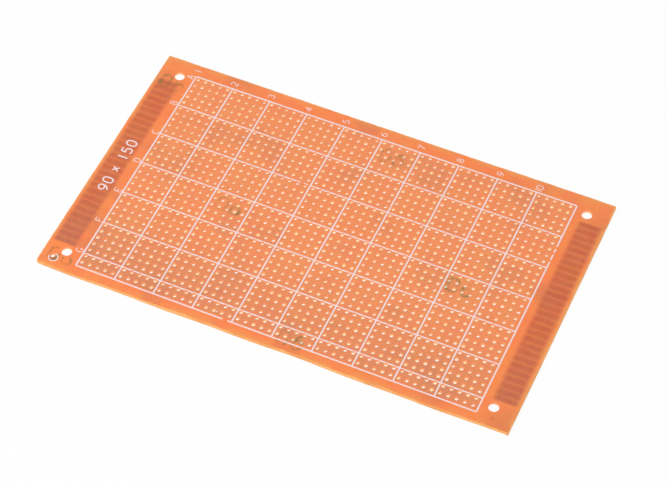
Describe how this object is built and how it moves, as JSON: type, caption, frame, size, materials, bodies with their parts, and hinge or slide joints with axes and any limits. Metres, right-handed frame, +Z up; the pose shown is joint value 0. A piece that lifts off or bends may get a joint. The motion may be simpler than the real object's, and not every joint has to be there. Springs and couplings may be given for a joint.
{
  "type": "prototype board",
  "caption": "Flat perforated circuit board for soldering trial circuits: phenolic sheet, bare copper ring round every lead hole underneath, edge fingers, printed white grid on top.",
  "frame": {"origin": "middle of the board's outline, on the plane that its copper rests on", "axes": "+X along the long edge, from the lettered end to the plain end; +Y across the board, from the front edge to the numbered edge; +Z up, from the copper side to the printed side"},
  "size_m": [0.15, 0.09, 0.0011],
  "materials": {
    "laminate": "varnished phenolic paper laminate, slightly translucent, satin",
    "copper": "bare etched copper foil under a thin flux lacquer",
    "ink": "screen-printed white marking ink"
  },
  "bodies": {
    "root": {"laminate": "laminate", "pads_row_a": "copper", "pads_row_b": "copper", "pads_row_c": "copper", "pads_row_d": "copper", "pads_row_e": "copper", "pads_row_f": "copper", "pads_row_g": "copper", "fingers_left": "copper", "fingers_right": "copper", "registration_dot": "copper", "grid_print": "ink", "ring_print": "ink"}
  },
  "joints": []
}
